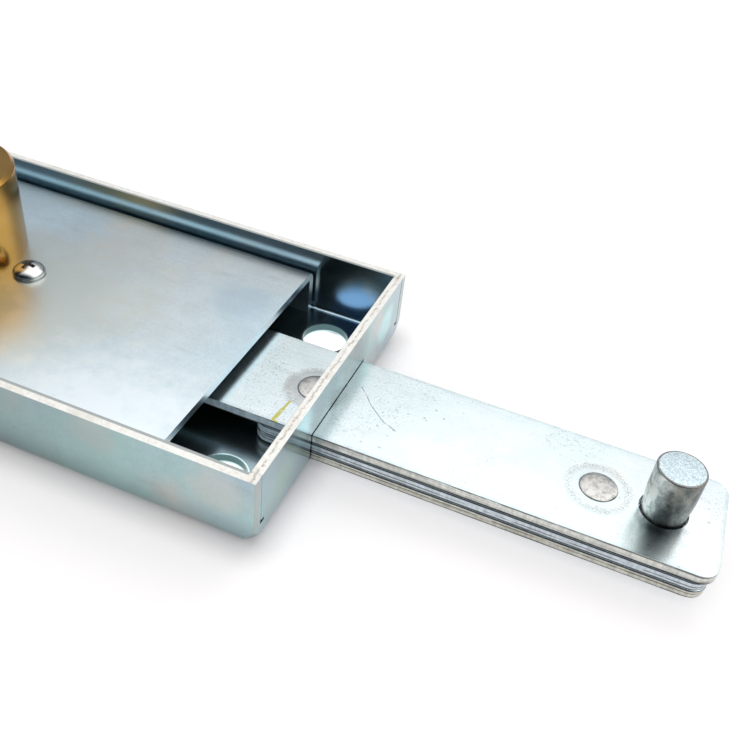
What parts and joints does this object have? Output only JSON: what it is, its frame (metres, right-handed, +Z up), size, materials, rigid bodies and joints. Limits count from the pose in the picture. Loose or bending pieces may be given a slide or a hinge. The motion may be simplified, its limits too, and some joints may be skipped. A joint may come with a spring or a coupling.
{
  "type": "roller shutter lock",
  "caption": "Shallow folded steel lock case with a round key cylinder on its cover and laminated flat bolts that slide out of its ends, each with an upright connecting pin.",
  "frame": {"origin": "on the cylinder's axis, at the case's underside", "axes": "+X along the case towards the right bolt, +Y across it to the rear, +Z up out of the cover"},
  "size_m": [0.2986, 0.062, 0.0283],
  "materials": {
    "zinc_case": "bright zinc plated sheet steel",
    "zinc_cover": "satin zinc plated sheet steel",
    "zinc_bolt": "bright zinc plated flat steel",
    "zinc_rivet": "zinc plated rivet",
    "zinc_pin": "zinc plated turned pin",
    "zinc_screw": "bright plated screw",
    "turned_steel": "turned steel",
    "spring_steel": "spring steel",
    "brass": "turned brass"
  },
  "bodies": {
    "root": {"case_tray": "zinc_case", "cover_plate": "zinc_cover", "cover_screws": "zinc_screw", "cover_posts": "turned_steel", "right_bolt_guide": "zinc_case", "left_bolt_guide": "zinc_case", "guide_rivets": "turned_steel", "pinion_bush": "brass", "cylinder_barrel": "brass", "cylinder_nut": "turned_steel", "driver_pins": "brass", "chamber_caps": "brass", "pin_springs": "spring_steel"},
    "plug": {"cylinder_plug": "brass", "key_pins": "brass", "plug_clip": "spring_steel", "drive_spindle": "turned_steel", "pinion": "turned_steel"},
    "right_bolt": {"right_bolt_top_plate": "zinc_bolt", "right_bolt_middle_plate": "zinc_bolt", "right_bolt_bottom_plate": "zinc_bolt", "right_bolt_rivets": "zinc_rivet", "right_bolt_pin": "zinc_pin"},
    "left_bolt": {"left_bolt_top_plate": "zinc_bolt", "left_bolt_middle_plate": "zinc_bolt", "left_bolt_bottom_plate": "zinc_bolt", "left_bolt_rivets": "zinc_rivet", "left_bolt_pin": "zinc_pin"}
  },
  "joints": [
    {"name": "right_bolt_slide", "type": "slide", "parent": "root", "child": "right_bolt", "axis": [1, 0, 0], "range_m": [-0.0201, 0]},
    {"name": "left_bolt_slide", "type": "slide", "parent": "root", "child": "left_bolt", "axis": [-1, 0, 0], "range_m": [-0.0201, 0]},
    {"name": "plug_turn", "type": "hinge", "parent": "root", "child": "plug", "pos_m": [0, 0, 0.02], "axis": [0, 0, 1], "range_deg": [0, 180]}
  ],
  "couplings": [
    {"joint": "left_bolt_slide", "follows": "right_bolt_slide", "ratio": 1},
    {"joint": "plug_turn", "follows": "right_bolt_slide", "rad_per_m": -156.25}
  ]
}
